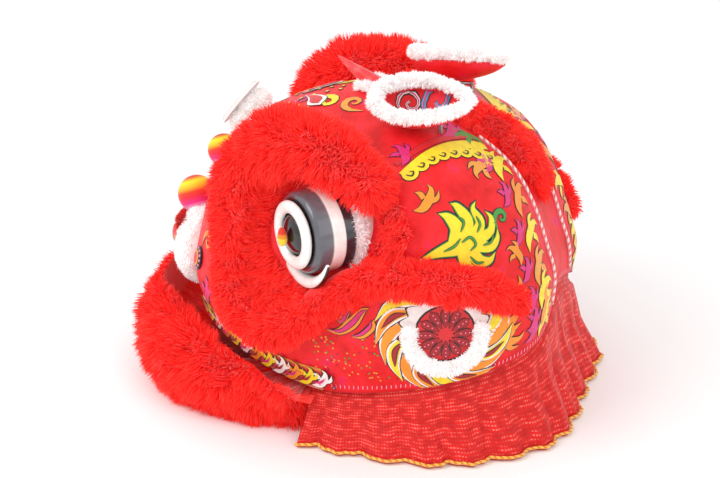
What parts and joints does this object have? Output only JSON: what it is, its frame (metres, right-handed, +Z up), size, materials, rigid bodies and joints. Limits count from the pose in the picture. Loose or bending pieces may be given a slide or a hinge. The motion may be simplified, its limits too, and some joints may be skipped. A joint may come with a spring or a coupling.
{
  "type": "lion dance head",
  "caption": "Southern-style lion dance head of padded printed cloth with deep red fur brows, a plush muzzle, a forehead mirror, hinged jaw and ears, and a gathered neck skirt.",
  "frame": {"origin": "on the floor under the middle of the head's overall box", "axes": "+Z up; the lion faces -Y; its left side is +X"},
  "size_m": [0.6152, 0.746, 0.5453],
  "materials": {
    "printed_cloth": "satin print over padding",
    "red_fur": "long pile",
    "white_fur": "short pile",
    "knit_cloth": "knit with sequins",
    "gold_piping": "woven cord",
    "white_piping": "woven cord",
    "eye_black": "satin",
    "eye_white": "felt",
    "glint": "felt",
    "velvet": "velvet",
    "satin": "satin",
    "mirror": "polished",
    "steel": "brushed",
    "board": "matt"
  },
  "bodies": {
    "root": {"back_piping_left": "white_piping", "back_piping_right": "white_piping", "bridge_ball": "velvet", "brow_fur_left": "red_fur", "brow_fur_right": "red_fur", "cheek_ring_left": "white_fur", "cheek_ring_right": "white_fur", "ear_pin_left": "steel", "ear_pin_right": "steel", "eye_drum_left": "eye_black", "eye_drum_right": "eye_black", "eye_glint_left": "glint", "eye_glint_right": "glint", "eye_lid_left": "eye_white", "eye_lid_right": "eye_white", "eye_pupil_left": "eye_black", "eye_pupil_right": "eye_black", "eye_ring_left": "eye_white", "eye_ring_right": "eye_white", "hem_piping": "gold_piping", "horn": "satin", "horn_collar": "white_fur", "jaw_pin_left": "steel", "jaw_pin_right": "steel", "lip_trim_left": "printed_cloth", "lip_trim_right": "printed_cloth", "mane": "red_fur", "mirror_frame": "white_piping", "mirror_fur": "white_fur", "mirror_glass": "mirror", "muzzle": "white_fur", "muzzle_spot_left": "velvet", "muzzle_spot_right": "velvet", "neck_skirt": "knit_cloth", "nose": "velvet", "nose_ball": "velvet", "nose_bow": "red_fur", "pompom_left": "red_fur", "pompom_right": "red_fur", "shell": "printed_cloth"},
    "jaw": {"jaw_board": "board", "jaw_fur": "red_fur"},
    "ear_left": {"ear_left": "printed_cloth", "ear_fur_left": "white_fur"},
    "ear_right": {"ear_right": "printed_cloth", "ear_fur_right": "white_fur"}
  },
  "joints": [
    {"name": "jaw_hinge", "type": "hinge", "parent": "root", "child": "jaw", "pos_m": [0, -0.004, 0.1], "axis": [-1, 0, 0], "range_deg": [0, 6]},
    {"name": "ear_left_hinge", "type": "hinge", "parent": "root", "child": "ear_left", "pos_m": [0.0935, 0.1159, 0.4755], "axis": [0, 0.9982, 0.0599], "range_deg": [-10, 10]},
    {"name": "ear_right_hinge", "type": "hinge", "parent": "root", "child": "ear_right", "pos_m": [-0.0935, 0.1159, 0.4755], "axis": [0, 0.9982, 0.0599], "range_deg": [-10, 10]}
  ]
}
